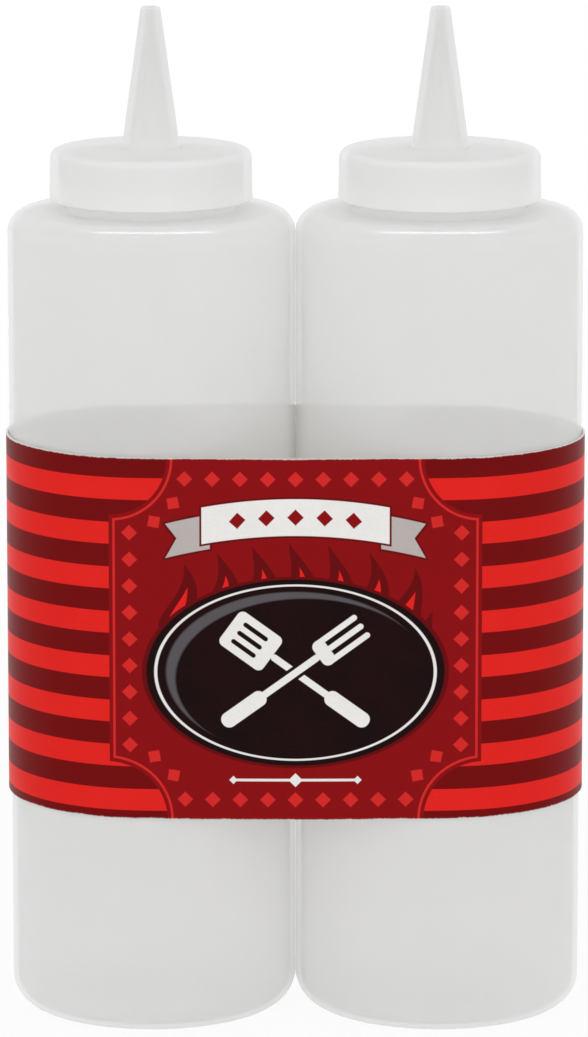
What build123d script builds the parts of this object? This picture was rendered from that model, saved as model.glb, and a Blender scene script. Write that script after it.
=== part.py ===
from build123d import *
import math
import os

os.makedirs("parts", exist_ok=True)

# A pair of squeeze bottles with cone-nozzle screw caps, held side by side by a printed card sleeve.
# Millimetres. +Z is up, +X runs from the left bottle to the right one and -Y is the sleeve's front.
# The origin is on the floor, midway between the two bottles.

# --- the bottle -------------------------------------------------------------------------------
bottle_diameter = 70.0
shoulder_height = 199.0      # floor to the flat of the shoulder
bottle_wall = 1.2
base_radius = 7.7            # outer corner round the foot
shoulder_radius = 5.2        # outer corner round the shoulder
foot_width = 2.0             # flat ring that the bottle stands on
push_up = 3.5                # how far the middle of the base is raised

# --- the neck and its thread --------------------------------------------------------------------
neck_diameter = 42.0
neck_wall = 2.0
neck_height = 12.2           # shoulder to lip
neck_root_radius = 0.8
thread_pitch = 25.4 / 6      # six threads to the inch
thread_turns = 1.0
thread_depth = 1.2
thread_root_width = 2.0
thread_crest_width = 0.8
thread_lip_gap = 0.8         # lip to the upper end of the neck's thread

# --- the cap and its nozzle ---------------------------------------------------------------------
cap_skirt_wall = 2.05
cap_draft = 0.2              # the skirt's outside is this much wider at its lower edge
cap_ceiling = 1.6
cap_edge_radius = 2.0
cap_mouth_chamfer = 0.4
nozzle_base_diameter = 14.2
nozzle_tip_diameter = 4.7
nozzle_height = 34.7         # cap's top face to the nozzle's tip
nozzle_wall = 1.3
nozzle_foot_radius = 0.8
nozzle_tip_radius = 0.6
orifice_diameter = 2.5
orifice_land = 5.0           # straight stretch of the orifice

# --- the seal ring ------------------------------------------------------------------------------
seal_thickness = 1.0
seal_overhang = 0.8          # how far the ring reaches inside the neck's bore

# --- the sleeve ---------------------------------------------------------------------------------
card_thickness = 0.5
sleeve_bottom = 55.0         # floor to the sleeve's lower edge
sleeve_height = 89.0
card_bow = 1.3               # how far the front swells out between the bottles
lap_width = 16.0             # overlap of the blank's two ends at the back
glue_thickness = 0.15
glue_margin = 2.0            # bare card round the glue strip
joggle_run = 6.0             # length over which the outer ply comes down to the bottles

# --- clearances ---------------------------------------------------------------------------------
bottle_gap = 0.3             # between the two bottles
sleeve_clearance = 0.3       # bottle to card
skirt_clearance = 2.7        # shoulder to the cap's lower edge
thread_radial_clearance = 0.25
thread_axial_clearance = 0.25
seal_radial_clearance = 0.25
joggle_clearance = 1.0       # end of the inner ply to the joggle

# --- worked out from the above ------------------------------------------------------------------
bottle_radius = bottle_diameter / 2
axis_x = bottle_radius + bottle_gap / 2
neck_radius = neck_diameter / 2
neck_bore_radius = neck_radius - neck_wall
lip_height = shoulder_height + neck_height
crest_radius = neck_radius + thread_depth
cap_bore_radius = crest_radius + thread_radial_clearance
cap_radius = cap_bore_radius + cap_skirt_wall
skirt_bottom = shoulder_height + skirt_clearance
ceiling_height = lip_height + seal_thickness
cap_top = ceiling_height + cap_ceiling
nozzle_base_radius = nozzle_base_diameter / 2
nozzle_tip = cap_top + nozzle_height
orifice_radius = orifice_diameter / 2
seal_outer_radius = cap_bore_radius - seal_radial_clearance
seal_inner_radius = neck_bore_radius - seal_overhang
neck_thread_start = lip_height - thread_lip_gap - thread_root_width / 2 - thread_pitch * thread_turns
card_inner_radius = bottle_radius + sleeve_clearance
outer_ply_y = card_inner_radius + card_thickness + glue_thickness

# The bowed front is one wide arc that leaves both bottles' rounds at a tangent.
bow_centre_y = (axis_x**2 - card_bow**2) / (2 * card_bow)
bow_reach = bow_centre_y + card_bow

# Where the two ridges are half as deep, their flanks are this far apart when their middles meet.
flank_width = (thread_root_width + thread_crest_width) / 2
flank_rise = (thread_root_width - thread_crest_width) / 2 / thread_depth * thread_radial_clearance
cap_thread_drop = flank_width + flank_rise + thread_axial_clearance


def upright_plane(x):
    """The plane of a turned profile: local X is the radius and local Y the height."""
    return Plane(origin=(x, 0, 0), x_dir=(1, 0, 0), z_dir=(0, -1, 0))


def upright_axis(x):
    return Axis((x, 0, 0), (0, 0, 1))


def helical_ridge(x, root_radius, crest, middle_height):
    """One thread ridge, sunk into the wall it stands on; crest is +1 outwards and -1 inwards."""
    sink = thread_depth / 3
    flank_slope = (thread_root_width - thread_crest_width) / 2 / thread_depth
    half_sunk = thread_root_width / 2 + flank_slope * sink
    half_crest = thread_crest_width / 2
    sunk = root_radius - crest * sink
    tip = root_radius + crest * thread_depth
    with BuildPart() as ridge:
        with BuildLine() as path:
            Helix(
                pitch=thread_pitch,
                height=thread_pitch * thread_turns,
                radius=root_radius,
                center=(x, 0, middle_height),
            )
        with BuildSketch(Plane(origin=(x, 0, middle_height), x_dir=(1, 0, 0), z_dir=(0, -1, 0))):
            with BuildLine():
                Polyline(
                    (sunk, -half_sunk),
                    (tip, -half_crest),
                    (tip, half_crest),
                    (sunk, half_sunk),
                    close=True,
                )
            make_face()
        sweep(path=path.line, is_frenet=True)
    return ridge.part


def make_bottle(x):
    with BuildPart() as bottle:
        with BuildSketch(upright_plane(x)) as section:
            with BuildLine():
                foot_outer = bottle_radius - base_radius
                foot_inner = foot_outer - foot_width
                neck_top = lip_height + 2 * bottle_wall
                ThreePointArc((-foot_inner, 0), (0, push_up), (foot_inner, 0))
                for side in (1, -1):
                    Line((side * foot_inner, 0), (side * foot_outer, 0))
                    RadiusArc(
                        (side * foot_outer, 0),
                        (side * bottle_radius, base_radius),
                        -side * base_radius,
                    )
                    Line(
                        (side * bottle_radius, base_radius),
                        (side * bottle_radius, shoulder_height - shoulder_radius),
                    )
                    RadiusArc(
                        (side * bottle_radius, shoulder_height - shoulder_radius),
                        (side * (bottle_radius - shoulder_radius), shoulder_height),
                        -side * shoulder_radius,
                    )
                    Polyline(
                        (side * (bottle_radius - shoulder_radius), shoulder_height),
                        (side * neck_radius, shoulder_height),
                        (side * neck_radius, neck_top),
                    )
                Line((-neck_radius, neck_top), (neck_radius, neck_top))
            make_face()
            offset(amount=-bottle_wall, mode=Mode.SUBTRACT)
            # the neck is moulded thicker than the blown body
            for side in (1, -1):
                with Locations((side * (neck_bore_radius + neck_wall / 2), lip_height)):
                    Rectangle(neck_wall, neck_height + bottle_wall, align=(Align.CENTER, Align.MAX))
            # one half of the section, up to the lip
            Rectangle(
                2 * bottle_radius, lip_height, align=(Align.MIN, Align.MIN), mode=Mode.INTERSECT
            )
            root = section.vertices().sort_by_distance((neck_radius, shoulder_height))[0]
            fillet(root, radius=neck_root_radius)
        revolve(axis=upright_axis(x))
        add(helical_ridge(x, neck_radius, 1, neck_thread_start))
    return bottle.part


def make_cap(x):
    with BuildPart() as cap:
        with BuildSketch(upright_plane(x)) as section:
            with BuildLine():
                edge_height = cap_top - cap_edge_radius
                funnel_radius = nozzle_base_radius - nozzle_wall
                Line((cap_radius + cap_draft, skirt_bottom), (cap_radius, edge_height))
                RadiusArc(
                    (cap_radius, edge_height),
                    (cap_radius - cap_edge_radius, cap_top),
                    -cap_edge_radius,
                )
                Polyline(
                    (cap_radius - cap_edge_radius, cap_top),
                    (nozzle_base_radius, cap_top),
                    (nozzle_tip_diameter / 2, nozzle_tip),
                    (orifice_radius, nozzle_tip),
                    (orifice_radius, nozzle_tip - orifice_land),
                    (funnel_radius, ceiling_height),
                    (cap_bore_radius, ceiling_height),
                    (cap_bore_radius, skirt_bottom + cap_mouth_chamfer),
                    (cap_bore_radius + cap_mouth_chamfer, skirt_bottom),
                    (cap_radius + cap_draft, skirt_bottom),
                )
            make_face()
            foot = section.vertices().sort_by_distance((nozzle_base_radius, cap_top))[0]
            fillet(foot, radius=nozzle_foot_radius)
            rim = section.vertices().sort_by_distance((nozzle_tip_diameter / 2, nozzle_tip))[0]
            fillet(rim, radius=nozzle_tip_radius)
        revolve(axis=upright_axis(x))
        add(helical_ridge(x, cap_bore_radius, -1, neck_thread_start - cap_thread_drop))
    return cap.part


def make_seal(x):
    with BuildPart() as seal:
        with BuildSketch(Plane(origin=(x, 0, lip_height))):
            Circle(seal_outer_radius)
            Circle(seal_inner_radius, mode=Mode.SUBTRACT)
        extrude(amount=seal_thickness)
    return seal.part


for side_name, side_x in (("left", -axis_x), ("right", axis_x)):
    for piece_name, piece in (
        ("bottle", make_bottle(side_x)),
        ("cap", make_cap(side_x)),
        ("seal", make_seal(side_x)),
    ):
        piece.label = f"{piece_name}_{side_name}"
        export_step(piece, f"parts/{piece.label}.step")

# --- the sleeve: one strip of card round both bottles, its ends lapped at the back ---------------
lap_half = lap_width / 2
joggle_x = -lap_half - joggle_clearance


def strip_face_line(proud):
    """One face of the card strip, proud of its inner face, from the outer ply's end to the inner's."""
    outer_y = outer_ply_y + proud
    round_radius = card_inner_radius + proud
    leave_x = axis_x + round_radius * axis_x / bow_reach
    leave_y = -round_radius * bow_centre_y / bow_reach
    Polyline(
        (lap_half, outer_y),
        (joggle_x, outer_y),
        (joggle_x - joggle_run, round_radius),
        (-axis_x, round_radius),
    )
    ThreePointArc((-axis_x, round_radius), (-axis_x - round_radius, 0), (-leave_x, leave_y))
    ThreePointArc((-leave_x, leave_y), (0, -round_radius - card_bow), (leave_x, leave_y))
    ThreePointArc((leave_x, leave_y), (axis_x + round_radius, 0), (axis_x, round_radius))
    Line((axis_x, round_radius), (-lap_half, round_radius))


with BuildPart() as sleeve:
    with BuildSketch(Plane.XY.offset(sleeve_bottom)):
        with BuildLine():
            strip_face_line(0)
            strip_face_line(card_thickness)
            Line((lap_half, outer_ply_y), (lap_half, outer_ply_y + card_thickness))
            Line((-lap_half, card_inner_radius), (-lap_half, card_inner_radius + card_thickness))
        make_face()
    extrude(amount=sleeve_height)
sleeve.part.label = "sleeve"
export_step(sleeve.part, "parts/sleeve.step")

with BuildPart() as sleeve_glue:
    with BuildSketch(Plane.XY.offset(sleeve_bottom + glue_margin)):
        with Locations((0, outer_ply_y - glue_thickness)):
            Rectangle(lap_width - 2 * glue_margin, glue_thickness, align=(Align.CENTER, Align.MIN))
    extrude(amount=sleeve_height - 2 * glue_margin)
sleeve_glue.part.label = "sleeve_glue"
export_step(sleeve_glue.part, "parts/sleeve_glue.step")
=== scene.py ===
"""Looks for a pair of milky squeeze bottles with cone caps, held together by a printed card sleeve."""

import math

import bmesh
import bpy
from mathutils import Matrix, Vector


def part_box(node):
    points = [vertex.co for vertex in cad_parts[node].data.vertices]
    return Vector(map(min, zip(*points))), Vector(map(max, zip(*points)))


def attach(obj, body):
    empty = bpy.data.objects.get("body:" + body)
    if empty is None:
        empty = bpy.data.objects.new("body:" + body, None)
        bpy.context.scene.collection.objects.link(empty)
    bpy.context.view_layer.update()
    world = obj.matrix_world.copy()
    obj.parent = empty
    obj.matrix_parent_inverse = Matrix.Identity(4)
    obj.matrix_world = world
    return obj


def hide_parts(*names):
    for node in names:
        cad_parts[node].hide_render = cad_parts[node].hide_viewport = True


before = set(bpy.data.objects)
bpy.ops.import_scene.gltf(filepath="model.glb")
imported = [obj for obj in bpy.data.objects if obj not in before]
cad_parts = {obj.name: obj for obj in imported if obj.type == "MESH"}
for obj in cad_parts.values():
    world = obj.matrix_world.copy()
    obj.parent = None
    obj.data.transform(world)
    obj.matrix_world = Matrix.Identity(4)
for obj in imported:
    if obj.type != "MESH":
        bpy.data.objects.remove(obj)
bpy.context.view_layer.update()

MM = 0.001

# --- sizes, in millimetres, read from the frame where it gives them ---------------------------


def node_box(node):
    """Lowest and highest corner of a CAD node, in millimetres."""
    low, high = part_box(node)
    return Vector(low) / MM, Vector(high) / MM


bottle_low, bottle_high = node_box("bottle_left")
cap_low, cap_high = node_box("cap_left")
_, seal_high = node_box("seal_left")
sleeve_low, sleeve_high = node_box("sleeve")

AXIS_X = -(bottle_low.x + bottle_high.x) / 2
BODY_RADIUS = (bottle_high.x - bottle_low.x) / 2
LIP_HEIGHT = bottle_high.z
WALL = 1.2
BASE_RADIUS = 7.7
FOOT_WIDTH = 2.0
PUSH_UP = 3.5
SHOULDER_HEIGHT = 199.0
SHOULDER_RADIUS = 5.2
NECK_RADIUS = 21.0
NECK_BORE = 19.0
NECK_ROOT = 0.8
LIP_EDGE = 0.4
INNER_ROOT = 1.0

SKIRT_BOTTOM = cap_low.z
TIP_HEIGHT = cap_high.z
CEILING_HEIGHT = seal_high.z
CAP_RADIUS = (cap_high.x - cap_low.x) / 2
CAP_DRAFT = 0.2
CAP_TOP = 213.8
CAP_BORE = 22.45
CAP_EDGE = 2.0
SKIRT_EDGE = 0.25
MOUTH_CHAMFER = 0.4
NOZZLE_BASE = 7.1
NOZZLE_TIP = 2.35
NOZZLE_WALL = 1.3
NOZZLE_FOOT = 0.8
NOZZLE_TIP_ROUND = 0.7
ORIFICE = 1.25
ORIFICE_LAND = 5.0
ORIFICE_EDGE = 0.15

THREAD_PITCH = 25.4 / 6
THREAD_TURNS = 1.0
THREAD_DEPTH = 1.2
THREAD_ROOT = 2.0
THREAD_CREST = 0.8
THREAD_SINK = 0.35
THREAD_TAPER = 0.05
NECK_THREAD_START = 205.167
CAP_THREAD_START = 203.392

CARD = 0.5
CARD_RADIUS = BODY_RADIUS + 0.3
CARD_BOW = 1.3
GLUE = 0.15
LAP_HALF = 8.0
JOGGLE_GAP = 1.0
JOGGLE_RUN = 6.0
SLEEVE_BOTTOM = sleeve_low.z
SLEEVE_HEIGHT = sleeve_high.z - sleeve_low.z

CONTACT_GAP = 0.02
CONTACT_REACH = 0.5

ROUND_STEPS = 168
DOME_STEPS = 12
ON_AXIS = 1e-6
CARD_ROWS = 22
SHARP_DEGREES = 35.0

# --- node trees written as arithmetic ----------------------------------------------------------


class Field:
    """A number that varies over a surface or a curve. Arithmetic on it adds Math nodes."""

    def __init__(self, nodes, socket):
        self.nodes = nodes
        self.socket = socket

    def math(self, operation, *others):
        inputs = dict(enumerate((self, *others)))
        return self.nodes.field("ShaderNodeMath", {"operation": operation}, inputs)

    def __add__(self, other):
        return self.math("ADD", other)

    __radd__ = __add__

    def __sub__(self, other):
        return self.math("SUBTRACT", other)

    def __rsub__(self, other):
        return (self * -1.0) + other

    def __mul__(self, other):
        return self.math("MULTIPLY", other)

    __rmul__ = __mul__

    def __truediv__(self, other):
        return self.math("DIVIDE", other)

    def __neg__(self):
        return self * -1.0

    def __abs__(self):
        return self.math("ABSOLUTE")

    def least(self, other):
        return self.math("MINIMUM", other)

    def most(self, other):
        return self.math("MAXIMUM", other)

    def repeated(self, pitch):
        """Distance to the nearest multiple of a pitch, with its sign."""
        return ((self / pitch + 0.5).math("FRACT") - 0.5) * pitch

    def clamped(self):
        return self.most(0.0).least(1.0)

    def length_with(self, other):
        return (self * self + other * other).math("SQRT")

    def inside(self, softness):
        """1 where this signed distance is negative, 0 where positive, with a soft edge."""
        return (0.5 - self / softness).clamped()


class Nodes:
    """Adds nodes to a tree: a node's settings first, then the values or links of its sockets."""

    def __init__(self, tree):
        self.tree = tree
        self.tree.nodes.clear()

    def node(self, kind, settings=None, inputs=None):
        made = self.tree.nodes.new(kind)
        for name, value in (settings or {}).items():
            setattr(made, name, value)
        for name, value in (inputs or {}).items():
            socket = made.inputs[name]
            if isinstance(value, Field):
                self.tree.links.new(value.socket, socket)
            elif isinstance(value, bpy.types.NodeSocket):
                self.tree.links.new(value, socket)
            else:
                socket.default_value = value
        return made

    def field(self, kind, settings=None, inputs=None, output=0):
        """A node's output as a number to calculate with."""
        return Field(self, self.node(kind, settings, inputs).outputs[output])


class Finish(Nodes):
    """One material's nodes."""

    def __init__(self, name):
        self.material = bpy.data.materials.new(name)
        self.material.use_nodes = True
        super().__init__(self.material.node_tree)

    def mix(self, factor, first, second):
        """first where factor is 0, second where it is 1; both are colours."""
        made = self.node(
            "ShaderNodeMix", {"data_type": "RGBA"}, {0: factor, 6: first, 7: second}
        )
        return made.outputs[2]

    def noise(self, vector, scale, detail, roughness):
        """Uneven from 0 to 1; the scale is in waves to the metre."""
        return self.field(
            "ShaderNodeTexNoise",
            inputs={"Vector": vector, "Scale": scale, "Detail": detail, "Roughness": roughness},
        )

    def stretched(self, vector, scale):
        """A point with each of its three numbers multiplied by its own factor."""
        made = self.node("ShaderNodeVectorMath", {"operation": "MULTIPLY"}, {0: vector, 1: scale})
        return made.outputs[0]

    def object_point(self):
        return self.node("ShaderNodeTexCoord").outputs["Object"]

    def parts(self, vector):
        """The three numbers of a vector."""
        made = self.node("ShaderNodeSeparateXYZ", inputs={"Vector": vector})
        return [Field(self, output) for output in made.outputs]

    def bump(self, height, distance):
        """The surface's lean where a relief of this height lies on it."""
        made = self.node(
            "ShaderNodeBump", inputs={"Height": height, "Distance": distance, "Strength": 1.0}
        )
        return made.outputs[0]

    def surface(self, **sockets):
        """Ends the nodes in a Principled shader; underscores stand for spaces."""
        inputs = {name.replace("_", " "): value for name, value in sockets.items()}
        shader = self.node("ShaderNodeBsdfPrincipled", inputs=inputs)
        self.node("ShaderNodeOutputMaterial", inputs={"Surface": shader.outputs[0]})
        return self.material


def darker(tone, share):
    """A linear colour with its three parts multiplied by a share."""
    return tuple(share * part for part in tone[:3]) + (1.0,)


def rgb(red, green, blue):
    """A colour given in 0 to 255 display values, as the linear colour a shader takes."""

    def linear(value):
        share = value / 255
        return share / 12.92 if share <= 0.04045 else ((share + 0.055) / 1.055) ** 2.4

    return (linear(red), linear(green), linear(blue), 1.0)


# --- materials, their sizes in millimetres ------------------------------------------------------

PLASTIC_RELIEF = 0.10
GRAIN_RELIEF = 0.02
PRINT_RELIEF = 0.012
PARTING_HALF = 0.22
TIP_SHADE_RISE = 4.0


def milky_plastic(name, tone, opacity, depth, gloss, parting_line=False, nozzle=False):
    """Natural polyethylene: cloudy and waxy. Light spreads over a depth in millimetres, and a little
    goes straight through. A ray that is in the wall leaves it freely, so a wall counts once."""
    finish = Finish(name)
    point = finish.object_point()
    cloud = finish.noise(point, scale=22.0, detail=3.0, roughness=0.6)
    lengthwise = finish.stretched(point, (1.0, 1.0, 0.16))
    drawn = finish.noise(lengthwise, scale=90.0, detail=2.0, roughness=0.5)
    grain = finish.noise(point, scale=1100.0, detail=2.0, roughness=0.5)
    waves = finish.noise(point, scale=38.0, detail=1.0, roughness=0.4)
    leaving = finish.field("ShaderNodeNewGeometry", output="Backfacing")
    patches = (0.65 * cloud + 0.55 * drawn - 0.1).clamped()
    colour = finish.mix(patches, darker(tone, 0.97), tone)
    if nozzle:
        # painted shade: the nozzle is coloured darker than the rest of the cap, most of all at its
        # thin tip, to stand in for the shade that falls there
        above = finish.parts(point)[2] / MM - CAP_TOP
        whole = TIP_HEIGHT - CAP_TOP
        share = 0.5 * (above / TIP_SHADE_RISE).clamped() + 0.5 * (above / whole).clamped()
        colour = finish.mix(share, colour, darker(tone, 0.86))
    relief = waves + 0.25 * drawn + 0.05 * grain
    if parting_line:
        # the two halves of the mould meet on the plane through both bottles' middles
        away = abs(finish.parts(point)[1]) / (PARTING_HALF * MM)
        relief = relief + 0.35 * (1.0 - away).clamped()
    return finish.surface(
        Base_Color=colour,
        Roughness=0.30 + 0.10 * cloud,
        IOR=1.03,
        Subsurface_Weight=1.0,
        Subsurface_Scale=depth * MM,
        Subsurface_Radius=(1.0, 1.0, 0.95),
        Coat_Weight=gloss,
        Coat_Roughness=0.16,
        Coat_IOR=1.4,
        Alpha=opacity * (1.0 - leaving),
        Normal=finish.bump(relief, PLASTIC_RELIEF * MM),
    )


def plain_finish(name, tone, roughness):
    """Matt stuff with a fine grain and faint patches."""
    finish = Finish(name)
    point = finish.object_point()
    grain = finish.noise(point, scale=700.0, detail=3.0, roughness=0.6)
    cloud = finish.noise(point, scale=60.0, detail=2.0, roughness=0.5)
    patches = (0.6 * grain + 0.5 * cloud - 0.05).clamped()
    return finish.surface(
        Base_Color=finish.mix(patches, darker(tone, 0.86), tone),
        Roughness=roughness + 0.1 * grain,
        Normal=finish.bump(grain, GRAIN_RELIEF * MM),
    )


HALF_ROOT = 0.707

# Shapes of the print: each gives a distance in millimetres that is negative inside the shape.


def slab(across, up, half_width, half_height):
    return (abs(across) - half_width).most(abs(up) - half_height)


def tablet(across, up, half_width, half_height, radius):
    """A rectangle with round corners."""
    beside = abs(across) - (half_width - radius)
    above = abs(up) - (half_height - radius)
    return beside.most(0.0).length_with(above.most(0.0)) + beside.most(above).least(0.0) - radius


def rod(across, up, half_length, radius):
    """An upright bar with round ends."""
    return across.length_with((abs(up) - half_length).most(0.0)) - radius


def lozenge(across, up, reach):
    """A square that stands on a corner."""
    return (abs(across) + abs(up) - reach) * HALF_ROOT


def leaned(across, up, degrees):
    """The same place in axes that lean over to the right."""
    cosine, sine = math.cos(math.radians(degrees)), math.sin(math.radians(degrees))
    return across * cosine - up * sine, up * cosine + across * sine


# Sizes of the print, and heights and drops measured from the middle of the card.

STRIPE_PITCH = 10.96
STRIPE_WIDTH = 5.4
PLAIN_TOP = 4.9
PLAIN_BORDER = 2.0
PANEL_HALF = 45.0
SCOOP = 14.0
KEYLINE_IN = 1.2
KEYLINE_HALF = 0.3
FRAME_IN = 5.0
FRAME_LOZENGE = 1.9
BACK_HALF = 30.0
BACK_PITCH = 7.9
BACK_COLUMN_HALF = 36.0
FLAME_PITCH = 9.2
FLAME_TOP = 24.0
FLAME_HALF_WIDTH = 33.0
FLAME_SWAY = 1.7
FLAME_FALL = 0.0075
HEART_DROP = 6.0
PLAQUE_HALF_WIDTH = 36.0
PLAQUE_HALF_HEIGHT = 23.0
PLAQUE_DROP = 8.0
PLAQUE_MEAN = 27.0
PLAQUE_RIM = 0.8
PLAQUE_LINE_IN = 1.7
PLAQUE_LINE_HALF = 0.28
GLEAM_IN = 3.6
TOOL_LEAN = 54.0
TOOL_SCALE = 1.14
TOOL_RIM = 0.7
RIBBON_HEIGHT = 30.2
RIBBON_HALF_WIDTH = 22.6
RIBBON_HALF_HEIGHT = 4.5
RIBBON_SAG = 0.0042
RIBBON_RIM = 0.5
TAIL_OUT = 26.0
TAIL_DROP = 1.8
TAIL_HALF_WIDTH = 5.4
TAIL_HALF_HEIGHT = 4.2
NOTCH_OUT = 28.6
NOTCH_SLOPE = 0.65
NOTCH_STEEPNESS = 0.84
BEAD_PITCH = 7.0
BEAD = 2.0
RULE_DROP = 34.6
RULE_HALF_WIDTH = 15.0
RULE_HALF_HEIGHT = 0.32
RULE_LOZENGE = 1.7
RULE_END = 1.0

BRIGHT_RED = rgb(242, 40, 35)
STRIPE_RED = rgb(120, 12, 14)
PANEL_RED = rgb(146, 17, 21)
SHADE_RED = rgb(108, 13, 17)
LOZENGE_RED = rgb(226, 46, 44)
INK_BLACK = rgb(13, 13, 14)
INK_GREY = rgb(92, 92, 95)
PAPER_WHITE = rgb(251, 250, 247)
FOLD_WHITE = rgb(196, 190, 186)


def handle(across, up):
    """The grip and shaft that both grill tools have."""
    grip = tablet(across, up + 13.5, half_width=1.7, half_height=5.5, radius=1.6)
    return grip.least(rod(across, up + 2.0, half_length=7.5, radius=0.75))


def three_rods(across, up, pitch, half_length, radius):
    """Three upright bars side by side."""
    outer = rod(abs(across) - pitch, up, half_length, radius)
    return outer.least(rod(across, up, half_length, radius))


def grill_fork(across, up):
    yoke = tablet(across, up - 7.4, half_width=3.0, half_height=1.5, radius=1.4)
    tines = three_rods(across, up - 12.2, pitch=2.35, half_length=4.8, radius=0.62)
    return handle(across, up).least(yoke).least(tines)


def grill_spatula(across, up):
    blade = tablet(across, up - 11.7, half_width=4.4, half_height=5.6, radius=1.3)
    slots = three_rods(across, up - 12.0, pitch=2.2, half_length=2.6, radius=0.5)
    return handle(across, up).least(blade.most(-slots))


def panel_frame(across, up):
    """Lozenges that follow the panel's edge, and the scooped corners."""
    beside, above = abs(across), abs(up)
    bend_across, bend_up = PANEL_HALF - beside, SLEEVE_HEIGHT / 2 - above
    ring = SCOOP + FRAME_IN
    meet = math.sqrt(ring**2 - FRAME_IN**2)
    column_end = SLEEVE_HEIGHT / 2 - meet
    row_end = PANEL_HALF - meet
    spare = FRAME_LOZENGE + 0.5
    column = lozenge(bend_across - FRAME_IN, up.repeated(2 * column_end / 8), FRAME_LOZENGE)
    column = column.most(above - column_end - spare)
    row = lozenge(across.repeated(2 * row_end / 8), bend_up - FRAME_IN, FRAME_LOZENGE)
    row = row.most(beside - row_end - spare)
    turn = bend_up.math("ARCTAN2", bend_across)
    first = math.asin(FRAME_IN / ring)
    step = (math.pi / 2 - 2 * first) / 3
    off_ring = bend_across.length_with(bend_up) - ring
    bent = lozenge((turn - first).repeated(step) * ring, off_ring, FRAME_LOZENGE)
    bent = bent.most(abs(turn - math.pi / 4) - (math.pi / 4 - first) + 0.5 * step)
    return column.least(row).least(bent)


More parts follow.
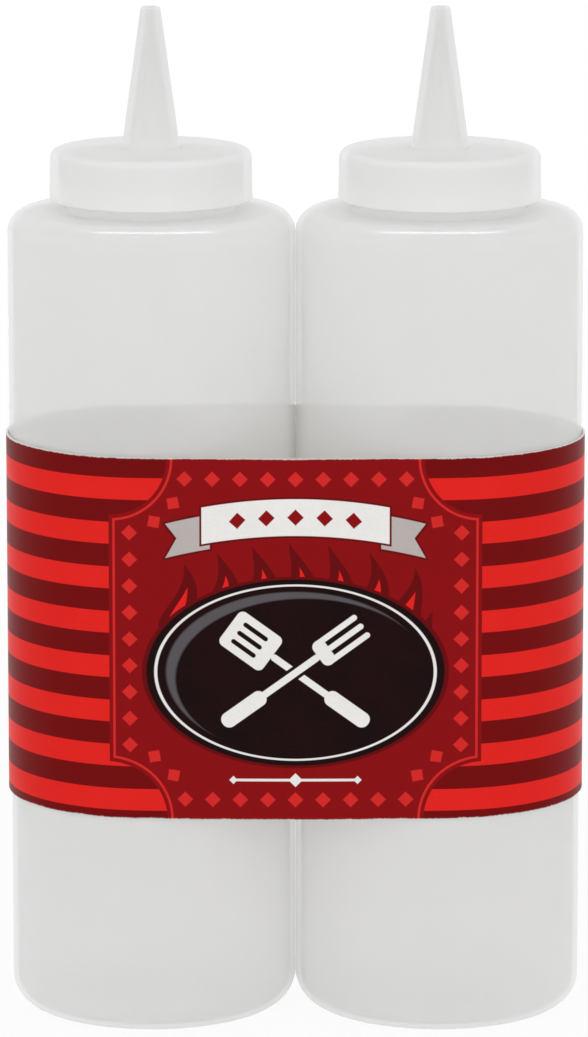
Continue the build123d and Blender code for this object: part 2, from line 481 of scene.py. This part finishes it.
def printed_card():
    """Red stripes and, on the front, a dark panel with a plaque; all sizes are in millimetres."""
    finish = Finish("printed_card")
    plane = finish.node("ShaderNodeUVMap", {"uv_map": "card"}).outputs[0]
    across, height, _ = finish.parts(plane)
    across = across / MM
    up = height / MM - SLEEVE_HEIGHT / 2
    stations = sleeve_stations()
    outer_end, inner_end = -stations[0][4], stations[-1][4]
    edge = (SLEEVE_HEIGHT / 2 - abs(up)).least(across + outer_end)

    def over(colour, shape, ink, softness=0.16):
        return finish.mix(shape.inside(softness), colour, ink)

    first = SLEEVE_HEIGHT / 2 - PLAIN_TOP - STRIPE_WIDTH / 2
    stripes = abs((up - first).repeated(STRIPE_PITCH)) - STRIPE_WIDTH / 2
    border = PLAIN_BORDER - SLEEVE_HEIGHT / 2 + abs(up)
    colour = over(STRIPE_RED, stripes.most(border), BRIGHT_RED)

    # a dark panel with scooped corners, and a plain one over the lap at the back
    corner = (abs(across) - PANEL_HALF).length_with(abs(up) - SLEEVE_HEIGHT / 2) - SCOOP
    panel = (abs(across) - PANEL_HALF).most(-corner)
    back = (outer_end + inner_end) / 2 - LAP_HALF - abs(across)
    back_panel = abs(back) - BACK_HALF
    colour = over(colour, panel.least(back_panel), PANEL_RED)
    colour = over(colour, abs(panel.least(back_panel) + KEYLINE_IN) - KEYLINE_HALF, LOZENGE_RED)
    colour = over(colour, panel_frame(across, up), LOZENGE_RED)
    back_column = lozenge(abs(back) - BACK_HALF + FRAME_IN, up.repeated(BACK_PITCH), FRAME_LOZENGE)
    colour = over(colour, back_column.most(abs(up) - BACK_COLUMN_HALF), LOZENGE_RED)

    # flames behind the plaque
    lean = across + FLAME_SWAY * (up * 0.27 + 0.8).math("SINE")
    tongue = abs(lean.repeated(FLAME_PITCH))
    tip = FLAME_TOP - FLAME_FALL * across * across
    bounds = (1.0 - up).most(abs(across) - FLAME_HALF_WIDTH)
    flame = ((up - tip + 3.0 * tongue) / 3.2).most(bounds)
    heart = ((up - tip + HEART_DROP + 3.6 * tongue) / 3.8).most(bounds)
    colour = over(colour, flame, SHADE_RED)
    colour = over(colour, heart, BRIGHT_RED)

    # a black plaque with a fork and a spatula crossed on it
    low = up + PLAQUE_DROP
    plaque = (across / PLAQUE_HALF_WIDTH).length_with(low / PLAQUE_HALF_HEIGHT)
    plaque = plaque * PLAQUE_MEAN - PLAQUE_MEAN
    shifted = ((across - 2.2) / PLAQUE_HALF_WIDTH).length_with((low + 1.6) / PLAQUE_HALF_HEIGHT)
    gleam = (plaque + GLEAM_IN).most(PLAQUE_MEAN - GLEAM_IN - PLAQUE_MEAN * shifted)
    colour = over(colour, plaque - PLAQUE_RIM, SHADE_RED)
    colour = over(colour, plaque, INK_BLACK)
    colour = over(colour, abs(plaque + PLAQUE_LINE_IN) - PLAQUE_LINE_HALF, PAPER_WHITE)
    colour = over(colour, gleam, INK_GREY, softness=0.5)
    tool_across, tool_up = across / TOOL_SCALE, low / TOOL_SCALE
    spatula = grill_spatula(*leaned(tool_across, tool_up, -TOOL_LEAN))
    fork = grill_fork(*leaned(tool_across, tool_up, TOOL_LEAN))
    colour = over(colour, spatula, PAPER_WHITE)
    colour = over(colour, fork - TOOL_RIM, INK_BLACK)
    colour = over(colour, fork, PAPER_WHITE)

    # a blank ribbon above it and a rule below
    hang = up - RIBBON_HEIGHT + RIBBON_SAG * across * across
    tail_up = hang + TAIL_DROP
    tail = slab(abs(across) - TAIL_OUT, tail_up, TAIL_HALF_WIDTH, TAIL_HALF_HEIGHT)
    tail = tail.most((abs(across) - NOTCH_OUT - NOTCH_SLOPE * abs(tail_up)) * NOTCH_STEEPNESS)
    ribbon = slab(across, hang, RIBBON_HALF_WIDTH, RIBBON_HALF_HEIGHT)
    colour = over(colour, tail - RIBBON_RIM, SHADE_RED)
    colour = over(colour, tail, FOLD_WHITE)
    colour = over(colour, ribbon - RIBBON_RIM, SHADE_RED)
    colour = over(colour, ribbon, PAPER_WHITE)
    beads = lozenge(across.repeated(BEAD_PITCH), hang, BEAD).most(abs(across) - 2.5 * BEAD_PITCH)
    colour = over(colour, beads, PANEL_RED)
    rule_up = up + RULE_DROP
    rule = slab(across, rule_up, RULE_HALF_WIDTH, RULE_HALF_HEIGHT)
    rule = rule.least(lozenge(across, rule_up, RULE_LOZENGE))
    rule = rule.least(lozenge(abs(across) - RULE_HALF_WIDTH, rule_up, RULE_END))
    colour = over(colour, rule, PAPER_WHITE)

    # ink that lies a little unevenly, and corners rubbed back to the board
    fibres = finish.noise(plane, scale=1400.0, detail=3.0, roughness=0.6)
    cloud = finish.noise(plane, scale=70.0, detail=3.0, roughness=0.6)
    colour = finish.mix(0.16 * (cloud + fibres - 0.6).clamped(), colour, SHADE_RED)
    rubbed = (0.25 + 0.9 * (cloud - 0.5) + 0.6 * (fibres - 0.5) - edge) / 0.3
    colour = finish.mix(0.75 * rubbed.clamped(), colour, PAPER_WHITE)
    return finish.surface(
        Base_Color=colour,
        Roughness=0.30 + 0.14 * cloud,
        Specular_IOR_Level=0.04,
        Normal=finish.bump(fibres + 1.5 * cloud, PRINT_RELIEF * MM),
    )


# --- meshes -------------------------------------------------------------------------------------


def linked(name, data):
    """A new object with this data, in the scene."""
    made = bpy.data.objects.new(name, data)
    bpy.context.scene.collection.objects.link(made)
    return made


def smooth(made):
    """Shades an object smooth, but for its sharp edges."""
    made.data.polygons.foreach_set("use_smooth", [True] * len(made.data.polygons))
    made.data.set_sharp_from_angle(angle=math.radians(SHARP_DEGREES))
    made.data.update()


def make_object(name, bm):
    """An object from a finished bmesh."""
    mesh = bpy.data.meshes.new(name)
    bm.to_mesh(mesh)
    bm.free()
    made = linked(name, mesh)
    smooth(made)
    return made


def arc(centre, radius, start, end, steps):
    """Points of an arc in (radius, height), from one angle to another in degrees."""
    points = []
    for step in range(steps + 1):
        turn = math.radians(start + (end - start) * step / steps)
        points.append((centre[0] + radius * math.cos(turn), centre[1] + radius * math.sin(turn)))
    return points


def straight(start, end, steps):
    """Points between two others, without the first."""
    return [
        (
            start[0] + (end[0] - start[0]) * step / steps,
            start[1] + (end[1] - start[1]) * step / steps,
        )
        for step in range(1, steps + 1)
    ]


def turned(name, outline):
    """A solid of revolution about the Z axis; a point on the axis becomes a pole."""
    bm = bmesh.new()
    rings = []
    for radius, height in outline:
        if radius < ON_AXIS:
            rings.append([bm.verts.new((0, 0, height * MM))])
            continue
        ring = []
        for step in range(ROUND_STEPS):
            turn = 2 * math.pi * step / ROUND_STEPS
            across, back = radius * math.cos(turn), radius * math.sin(turn)
            ring.append(bm.verts.new((across * MM, back * MM, height * MM)))
        rings.append(ring)
    pairs = list(zip(rings, rings[1:]))
    if len(rings[0]) > 1:
        pairs.append((rings[-1], rings[0]))
    for lower, upper in pairs:
        for step in range(ROUND_STEPS):
            after = (step + 1) % ROUND_STEPS
            if len(lower) == 1:
                bm.faces.new((lower[0], upper[step], upper[after]))
            elif len(upper) == 1:
                bm.faces.new((lower[step], lower[after], upper[0]))
            else:
                bm.faces.new((lower[step], lower[after], upper[after], upper[step]))
    bmesh.ops.recalc_face_normals(bm, faces=bm.faces)
    return make_object(name, bm)


class Ridge(Nodes):
    """A tapered bar that follows a path, as a node tree with its sizes as inputs."""

    def __init__(self, name):
        super().__init__(bpy.data.node_groups.new(name, "GeometryNodeTree"))
        self.tree.interface.new_socket(
            "Ridge", in_out="OUTPUT", socket_type="NodeSocketGeometry"
        )
        self.values = {}

    def take(self, **values):
        """Adds named inputs to the tree and remembers what the modifier sets them to."""
        for name, value in values.items():
            made = self.tree.interface.new_socket(
                name, in_out="INPUT", socket_type="NodeSocketFloat"
            )
            self.values[made.identifier] = value
        entry = self.node("NodeGroupInput")
        return [Field(self, entry.outputs[name]) for name in values]

    def sweep(self, path, root, crest, depth, outward):
        """Sweeps a trapezium along the path, its foot sunk in, and thins it out at both ends."""
        sink = depth * THREAD_SINK
        share = self.field("GeometryNodeSplineParameter")
        ends = (share.least(1.0 - share) / THREAD_TAPER).clamped() * 0.9 + 0.1
        profile = self.node(
            "GeometryNodeCurvePrimitiveQuadrilateral",
            {"mode": "TRAPEZOID"},
            {"Height": depth + sink, "Bottom Width": root, "Top Width": crest, "Offset": 0.0},
        )
        shift = (depth - sink) * (0.5 if outward else -0.5)
        place = self.node("ShaderNodeCombineXYZ", inputs={"X": shift})
        turn = -math.pi / 2 if outward else math.pi / 2
        profile = self.node(
            "GeometryNodeTransform",
            inputs={
                "Geometry": profile.outputs[0],
                "Rotation": (0.0, 0.0, turn),
                "Translation": place.outputs[0],
            },
        )
        path = self.node("GeometryNodeSetCurveNormal", {"mode": "Z_UP"}, {"Curve": path})
        swept = self.node(
            "GeometryNodeCurveToMesh",
            inputs={
                "Curve": path.outputs[0],
                "Profile Curve": profile.outputs[0],
                "Scale": ends,
                "Fill Caps": True,
            },
        )
        return swept.outputs[0]

    def made(self, geometry, material):
        """Ends the tree, runs it on an empty mesh and gives back a plain object."""
        real = self.node("GeometryNodeRealizeInstances", inputs={"Geometry": geometry})
        dressed = self.node(
            "GeometryNodeSetMaterial", inputs={"Geometry": real.outputs[0], "Material": material}
        )
        self.node("NodeGroupOutput", inputs={0: dressed.outputs[0]})
        holder = linked(self.tree.name, bpy.data.meshes.new(self.tree.name))
        modifier = holder.modifiers.new("ridge", "NODES")
        modifier.node_group = self.tree
        for identifier, value in self.values.items():
            modifier[identifier] = value
        return baked(holder)


def baked(made):
    """Puts an object's evaluated shape in its mesh and takes its modifiers off."""
    depsgraph = bpy.context.evaluated_depsgraph_get()
    mesh = bpy.data.meshes.new_from_object(made.evaluated_get(depsgraph))
    made.modifiers.clear()
    made.data = mesh
    return made


def thread_ridge(name, radius, start, outward, material):
    """The thread of a neck, with its crest outwards, or of a cap, with its crest inwards."""
    ridge = Ridge(name)
    pitch, turns, reach, depth, root, crest, height = ridge.take(
        pitch=THREAD_PITCH * MM,
        turns=THREAD_TURNS,
        radius=radius * MM,
        depth=THREAD_DEPTH * MM,
        root_width=THREAD_ROOT * MM,
        crest_width=THREAD_CREST * MM,
        start_height=start * MM,
    )
    spiral = ridge.node(
        "GeometryNodeCurveSpiral",
        inputs={
            "Resolution": ROUND_STEPS,
            "Rotations": turns,
            "Start Radius": reach,
            "End Radius": reach,
            "Height": pitch * turns,
            "Reverse": True,
        },
    )
    rise = ridge.node("ShaderNodeCombineXYZ", inputs={"Z": height})
    raised = ridge.node(
        "GeometryNodeSetPosition",
        inputs={"Geometry": spiral.outputs[0], "Offset": rise.outputs[0]},
    )
    swept = ridge.sweep(raised.outputs[0], root, crest, depth, outward)
    return ridge.made(swept, material)


def united(body, part):
    """Joins part to body by an exact union and removes part."""
    modifier = body.modifiers.new("union", "BOOLEAN")
    modifier.operation = "UNION"
    modifier.solver = "EXACT"
    modifier.object = part
    baked(body)
    bpy.data.objects.remove(part)
    smooth(body)


def moved_copy(model, name, shift):
    """A copy of a piece with its mesh moved along X."""
    mesh = model.data.copy()
    mesh.name = name
    mesh.transform(Matrix.Translation((shift * MM, 0, 0)))
    return linked(name, mesh)


def pressed_together(shell):
    """Swells a bottle's side by a hair where its neighbour lies against it."""
    gap = AXIS_X - BODY_RADIUS
    swell = gap - CONTACT_GAP
    for vertex in shell.data.vertices:
        away = abs(vertex.co.x) / MM
        share = 1.0 - (away - gap) / CONTACT_REACH
        if share > 0.0:
            vertex.co.x -= math.copysign(swell * share * MM, vertex.co.x)


def bottle_outline():
    """Outside from the middle of the base to the lip, then inside back down to the base."""
    foot = BODY_RADIUS - BASE_RADIUS
    dome = foot - FOOT_WIDTH
    points = [(0.0, PUSH_UP)]
    for step in range(1, DOME_STEPS + 1):
        radius = dome * step / DOME_STEPS
        points.append((radius, PUSH_UP * (1 - (radius / dome) ** 2)))
    points += arc((foot, BASE_RADIUS), BASE_RADIUS, -90, 0, 14)
    side_top = SHOULDER_HEIGHT - SHOULDER_RADIUS
    points += straight((BODY_RADIUS, BASE_RADIUS), (BODY_RADIUS, side_top), 40)[:-1]
    points += arc((BODY_RADIUS - SHOULDER_RADIUS, side_top), SHOULDER_RADIUS, 0, 90, 12)
    root = NECK_RADIUS + NECK_ROOT
    points += straight(
        (BODY_RADIUS - SHOULDER_RADIUS, SHOULDER_HEIGHT), (root, SHOULDER_HEIGHT), 5
    )[:-1]
    points += arc((root, SHOULDER_HEIGHT + NECK_ROOT), NECK_ROOT, -90, -180, 5)
    lip = LIP_HEIGHT - LIP_EDGE
    points += straight((NECK_RADIUS, SHOULDER_HEIGHT + NECK_ROOT), (NECK_RADIUS, lip), 8)[:-1]
    points += arc((NECK_RADIUS - LIP_EDGE, lip), LIP_EDGE, 0, 90, 3)
    points += arc((NECK_BORE + LIP_EDGE, lip), LIP_EDGE, 90, 180, 3)
    inner = BODY_RADIUS - WALL
    under = SHOULDER_HEIGHT - WALL
    inner_root = (NECK_BORE + INNER_ROOT, under + INNER_ROOT)
    points += straight((NECK_BORE, lip), (NECK_BORE, inner_root[1]), 6)[:-1]
    points += arc(inner_root, INNER_ROOT, 180, 270, 4)
    inside_corner = SHOULDER_RADIUS - WALL
    points += straight((inner_root[0], under), (BODY_RADIUS - SHOULDER_RADIUS, under), 5)[:-1]
    points += arc((BODY_RADIUS - SHOULDER_RADIUS, side_top), inside_corner, 90, 0, 10)
    points += straight((inner, side_top), (inner, BASE_RADIUS), 40)[:-1]
    points += arc((foot, BASE_RADIUS), BASE_RADIUS - WALL, 0, -90, 12)
    for step in range(DOME_STEPS - 1, -1, -1):
        radius = dome * step / DOME_STEPS
        points.append((radius, WALL + PUSH_UP * (1 - (radius / dome) ** 2)))
    return points


def cap_outline():
    """Outside from the skirt's lower edge to the nozzle's tip, then back down inside."""
    upper = CAP_RADIUS - CAP_DRAFT
    edge = CAP_TOP - CAP_EDGE
    points = [(CAP_RADIUS - SKIRT_EDGE, SKIRT_BOTTOM), (CAP_RADIUS, SKIRT_BOTTOM + SKIRT_EDGE)]
    points += straight(points[-1], (upper, edge), 8)[:-1]
    points += arc((upper - CAP_EDGE, edge), CAP_EDGE, 0, 90, 10)
    slope = math.degrees(math.atan2(TIP_HEIGHT - CAP_TOP, NOZZLE_BASE - NOZZLE_TIP))
    foot_reach = NOZZLE_FOOT * math.tan(math.radians(slope / 2))
    foot_centre = (NOZZLE_BASE + foot_reach, CAP_TOP + NOZZLE_FOOT)
    points += straight((upper - CAP_EDGE, CAP_TOP), (foot_centre[0], CAP_TOP), 10)[:-1]
    points += arc(foot_centre, NOZZLE_FOOT, -90, -90 - slope, 6)
    # the cone stops just short of the tip's round, so that no two of its points coincide
    tip_reach = NOZZLE_TIP - NOZZLE_TIP_ROUND * math.tan(math.radians(slope / 2))
    tip_centre = (tip_reach, TIP_HEIGHT - NOZZLE_TIP_ROUND)
    points += straight(points[-1], (NOZZLE_TIP + 0.1, tip_centre[1] - 0.05), 24)[:-1]
    points += arc(tip_centre, NOZZLE_TIP_ROUND, 90 - slope, 90, 6)
    orifice_edge = TIP_HEIGHT - ORIFICE_EDGE
    points += arc((ORIFICE + ORIFICE_EDGE, orifice_edge), ORIFICE_EDGE, 90, 180, 2)
    land = TIP_HEIGHT - ORIFICE_LAND
    points += straight((ORIFICE, orifice_edge), (ORIFICE, land), 4)
    funnel = NOZZLE_BASE - NOZZLE_WALL
    points += straight((ORIFICE, land), (funnel, CEILING_HEIGHT), 16)
    points += straight((funnel, CEILING_HEIGHT), (CAP_BORE, CEILING_HEIGHT), 8)
    mouth = SKIRT_BOTTOM + MOUTH_CHAMFER
    points += straight((CAP_BORE, CEILING_HEIGHT), (CAP_BORE, mouth), 8)
    points.append((CAP_BORE + MOUTH_CHAMFER, SKIRT_BOTTOM))
    return points


def sleeve_stations():
    """Points of the card's inner face, from the outer ply's end to the inner ply's end.

    Each is (x, y, outward normal x, outward normal y, distance along the card from the front).
    """
    outer_y = CARD_RADIUS + CARD + GLUE
    joggle = -LAP_HALF - JOGGLE_GAP
    corners = [
        (LAP_HALF, outer_y),
        (joggle, outer_y),
        (joggle - JOGGLE_RUN, CARD_RADIUS),
        (-AXIS_X, CARD_RADIUS),
    ]
    line = [corners[0]]
    for start, end in zip(corners, corners[1:]):
        line += straight(start, end, 10)
    bow_centre = (AXIS_X**2 - CARD_BOW**2) / (2 * CARD_BOW)
    lean = math.degrees(math.asin(AXIS_X / (bow_centre + CARD_BOW)))
    line += arc((-AXIS_X, 0), CARD_RADIUS, 90, 270 - lean, 64)[1:]
    bow_radius = CARD_RADIUS + bow_centre + CARD_BOW
    line += arc((0, bow_centre), bow_radius, 270 - lean, 270 + lean, 40)[1:]
    line += arc((AXIS_X, 0), CARD_RADIUS, lean - 90, 90, 64)[1:]
    line += straight((AXIS_X, CARD_RADIUS), (-LAP_HALF, CARD_RADIUS), 22)
    lengths = [0.0]
    for start, end in zip(line, line[1:]):
        lengths.append(lengths[-1] + math.dist(start, end))
    front = min(range(len(line)), key=lambda index: (abs(line[index][0]), line[index][1]))
    middle = lengths[front]
    stations = []
    for index, point in enumerate(line):
        before = line[max(index - 1, 0)]
        after = line[min(index + 1, len(line) - 1)]
        along = Vector((after[0] - before[0], after[1] - before[1])).normalized()
        stations.append((point[0], point[1], along.y, -along.x, lengths[index] - middle))
    return stations


def card_sleeve():
    """The card strip, its outer face in the first material slot and its board in the second."""
    bm = bmesh.new()
    print_map = bm.loops.layers.uv.new("card")
    stations = sleeve_stations()
    rows = CARD_ROWS
    grids = []
    for proud in (0.0, CARD):
        grid = []
        for x, y, out_x, out_y, _ in stations:
            across, back = x + out_x * proud, y + out_y * proud
            column = []
            for row in range(rows + 1):
                height = SLEEVE_BOTTOM + SLEEVE_HEIGHT * row / rows
                column.append(bm.verts.new((across * MM, back * MM, height * MM)))
            grid.append(column)
        grids.append(grid)
    inner, outer = grids

    def add(corners, places, slot):
        """A face, mapped to the flat blank by the station and row of each of its corners."""
        face = bm.faces.new(corners)
        face.material_index = slot
        for loop, (station, row) in zip(face.loops, places):
            loop[print_map].uv = (stations[station][4] * MM, SLEEVE_HEIGHT * row / rows * MM)

    last = len(stations) - 1
    for column in range(last):
        after = column + 1
        for row in range(rows):
            places = ((column, row), (after, row), (after, row + 1), (column, row + 1))
            add([outer[c][r] for c, r in places], places, 0)
            add([inner[c][r] for c, r in reversed(places)], list(reversed(places)), 1)
        for row in (0, rows):
            places = ((column, row), (after, row), (after, row), (column, row))
            corners = (inner[column][row], inner[after][row], outer[after][row], outer[column][row])
            add(corners, places, 1)
    for column in (0, last):
        for row in range(rows):
            places = ((column, row), (column, row + 1), (column, row + 1), (column, row))
            corners = (
                inner[column][row],
                inner[column][row + 1],
                outer[column][row + 1],
                outer[column][row],
            )
            add(corners, places, 1)
    bmesh.ops.recalc_face_normals(bm, faces=bm.faces)
    return make_object("card_sleeve", bm)


# --- pieces -------------------------------------------------------------------------------------

bottle_plastic = milky_plastic(
    "bottle_plastic", rgb(252, 252, 251), opacity=0.73, depth=5.0, gloss=0.3, parting_line=True
)
cap_plastic = milky_plastic(
    "cap_plastic", rgb(247, 247, 246), opacity=0.88, depth=1.6, gloss=0.12, nozzle=True
)
card_print = printed_card()
card_board = plain_finish("card_board", rgb(246, 243, 238), 0.75)
glue = plain_finish("glue", rgb(214, 190, 130), 0.35)
seal_rubber = plain_finish("seal_rubber", rgb(235, 234, 230), 0.5)


def moulded(name, outline, material, thread):
    """One plastic piece about the Z axis, of a turned outline and its thread."""
    body = turned(name, outline)
    body.data.materials.append(material)
    united(body, thread)
    return body


def dressed(node, material):
    """Gives a CAD node's own mesh its finish."""
    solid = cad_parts[node]
    solid.data.materials.clear()
    solid.data.materials.append(material)


neck_thread = thread_ridge("neck_thread", NECK_RADIUS, NECK_THREAD_START, True, bottle_plastic)
bottle_model = moulded("bottle", bottle_outline(), bottle_plastic, neck_thread)
cap_thread = thread_ridge("cap_thread", CAP_BORE, CAP_THREAD_START, False, cap_plastic)
cap_model = moulded("cap", cap_outline(), cap_plastic, cap_thread)

for side, centre_x in (("left", -AXIS_X), ("right", AXIS_X)):
    shell = moved_copy(bottle_model, f"{side}_bottle_shell", centre_x)
    pressed_together(shell)
    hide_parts(f"bottle_{side}")
    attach(shell, f"bottle_{side}")
    cap = moved_copy(cap_model, f"{side}_cone_cap", centre_x)
    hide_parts(f"cap_{side}")
    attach(cap, f"cap_{side}")
    dressed(f"seal_{side}", seal_rubber)
bpy.data.objects.remove(bottle_model)
bpy.data.objects.remove(cap_model)

sleeve = card_sleeve()
sleeve.data.materials.append(card_print)
sleeve.data.materials.append(card_board)
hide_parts("sleeve")
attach(sleeve, "sleeve")
dressed("sleeve_glue", glue)

# --- floor, light and camera, in metres ---------------------------------------------------------

WHITE = (1.0, 1.0, 1.0, 1.0)
FLOOR_PAINT = (0.92, 0.92, 0.92, 1.0)
FLOOR_RADIUS = 14.0
FLOOR_GLOW = 0.92
SHADOW_REACH = 0.25
SHADOW_FADE = 0.9
BOUNCES = 32


def seen_directly(nodes):
    """1 for rays that look straight at the surroundings: camera, mirror and see-through rays."""
    path = nodes.node("ShaderNodeLightPath")
    shown = Field(nodes, path.outputs["Is Camera Ray"])
    for name in ("Is Glossy Ray", "Is Transmission Ray"):
        shown = shown.most(Field(nodes, path.outputs[name]))
    return shown


def white_floor():
    """A pale round floor that shows the shadow near the object and fades to white further off."""
    bm = bmesh.new()
    bmesh.ops.create_circle(bm, cap_ends=True, segments=96, radius=FLOOR_RADIUS)
    floor = make_object("floor", bm)
    nodes = Finish("floor_white")
    across, back, _ = nodes.parts(nodes.object_point())
    far = ((across.length_with(back) - SHADOW_REACH) / SHADOW_FADE).clamped()
    shown = seen_directly(nodes) * (FLOOR_GLOW + (1.0 - FLOOR_GLOW) * far)
    paint = nodes.node("ShaderNodeBsdfDiffuse", inputs={"Color": FLOOR_PAINT})
    glow = nodes.node("ShaderNodeEmission", inputs={"Color": WHITE, "Strength": 1.0})
    mixed = nodes.node(
        "ShaderNodeMixShader", inputs={0: shown, 1: paint.outputs[0], 2: glow.outputs[0]}
    )
    nodes.node("ShaderNodeOutputMaterial", inputs={"Surface": mixed.outputs[0]})
    floor.data.materials.append(nodes.material)


def white_room(level):
    """Even light from all around, at this level; what is seen of the room itself is white."""
    world = bpy.data.worlds.new("room")
    bpy.context.scene.world = world
    world.use_nodes = True
    nodes = Nodes(world.node_tree)
    shown = seen_directly(nodes)
    light = nodes.node(
        "ShaderNodeBackground",
        inputs={"Color": WHITE, "Strength": level + (1.0 - level) * shown},
    )
    nodes.node("ShaderNodeOutputWorld", inputs={"Surface": light.outputs[0]})


def soft_box(name, place, aim, width, height, power, gloss_only=False):
    """A rectangular lamp; one for gloss only shows in reflections and adds no other light."""
    lamp = bpy.data.lights.new(name, "AREA")
    lamp.shape = "RECTANGLE"
    lamp.size = width
    lamp.size_y = height
    lamp.energy = power
    made = linked(name, lamp)
    made.visible_diffuse = not gloss_only
    made.location = place
    made.rotation_euler = (Vector(aim) - Vector(place)).to_track_quat("-Z", "Y").to_euler()


def front_camera():
    """A long lens in front of the sleeve and a little above it."""
    distance = 1.6
    tilt = math.radians(11.33)
    aim_across, aim_height = -0.00036, 0.12205
    frame_pixels = 1037
    focal_pixels = 6638.7
    lens = bpy.data.cameras.new("camera")
    lens.sensor_width = 36.0
    lens.lens = lens.sensor_width * focal_pixels / frame_pixels
    made = linked("camera", lens)
    made.location = (aim_across, -distance, aim_height + distance * math.tan(tilt))
    made.rotation_euler = (math.pi / 2 - tilt, 0, 0)
    bpy.context.scene.camera = made


white_floor()
white_room(0.785)
soft_box(
    "rim_strip", (0, 0.24, 1.4), (0, 0, 0.2), width=1.1, height=0.1, power=27, gloss_only=True
)
for name, across in (("front_left", -0.9), ("front_right", 0.9)):
    soft_box(name, (across, -1.2, 0.5), (0, 0, 0.12), width=0.7, height=0.9, power=1.7)
# light crosses the cloudy walls many times before it leaves a bottle
bpy.context.scene.cycles.max_bounces = BOUNCES
bpy.context.scene.cycles.diffuse_bounces = BOUNCES
front_camera()
bpy.context.scene.view_settings.view_transform = "Standard"
